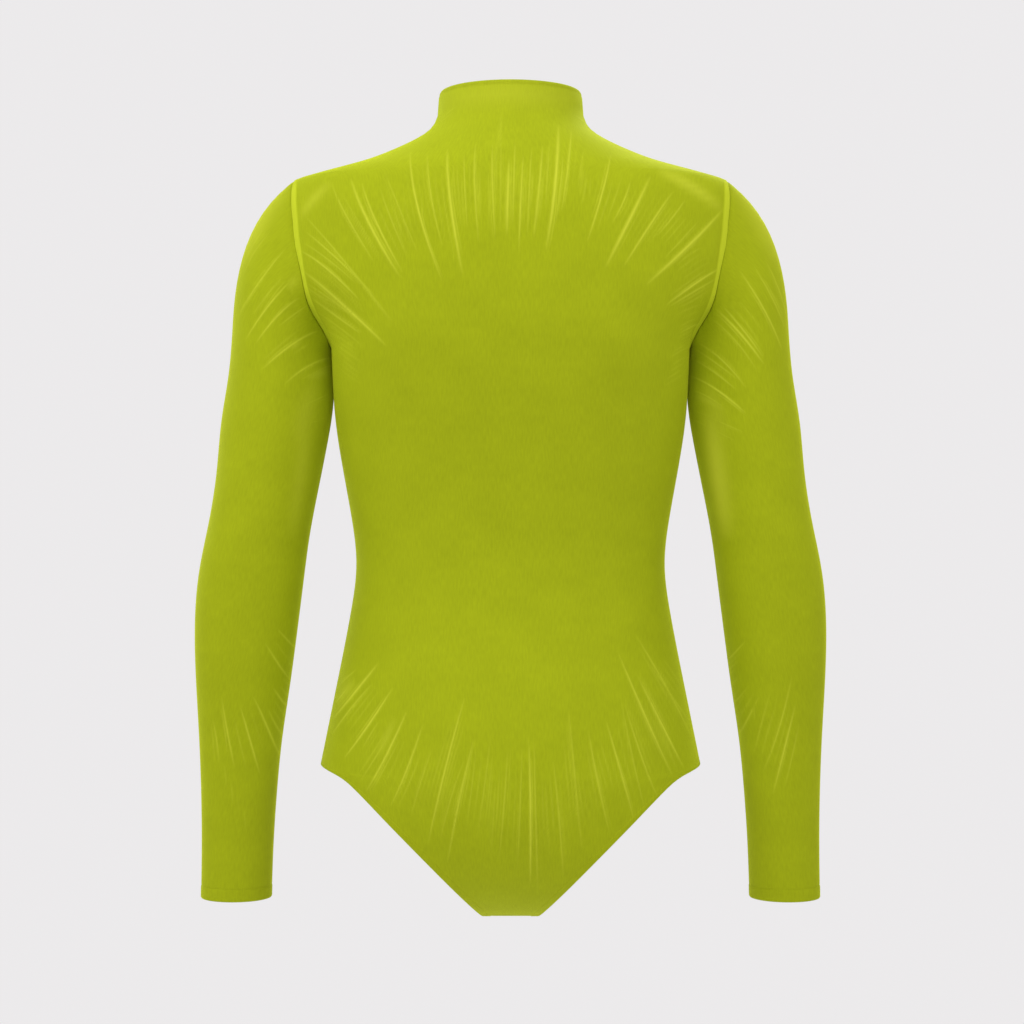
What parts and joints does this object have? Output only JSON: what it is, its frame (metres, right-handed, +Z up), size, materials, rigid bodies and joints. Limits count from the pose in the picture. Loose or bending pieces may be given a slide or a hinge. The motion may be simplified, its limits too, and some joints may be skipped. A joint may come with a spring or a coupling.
{
  "type": "long-sleeved bodysuit",
  "caption": "Stretch bodysuit with a funnel neck, long set-in sleeves and high-cut legs, hollow and in its worn shape.",
  "frame": {"origin": "on the middle plane, level with the middle of the shoulder seams, where the wearer's shoulders carry the garment", "axes": "+Z up, -Y towards the garment's front, +X towards the wearer's left"},
  "size_m": [0.5544, 0.2422, 0.724],
  "materials": {
    "stretch_cloth": "matt knit with a slight sheen"
  },
  "bodies": {
    "root": {"back_panel": "stretch_cloth", "front_panel": "stretch_cloth", "sleeve_left": "stretch_cloth", "sleeve_right": "stretch_cloth"}
  },
  "joints": []
}
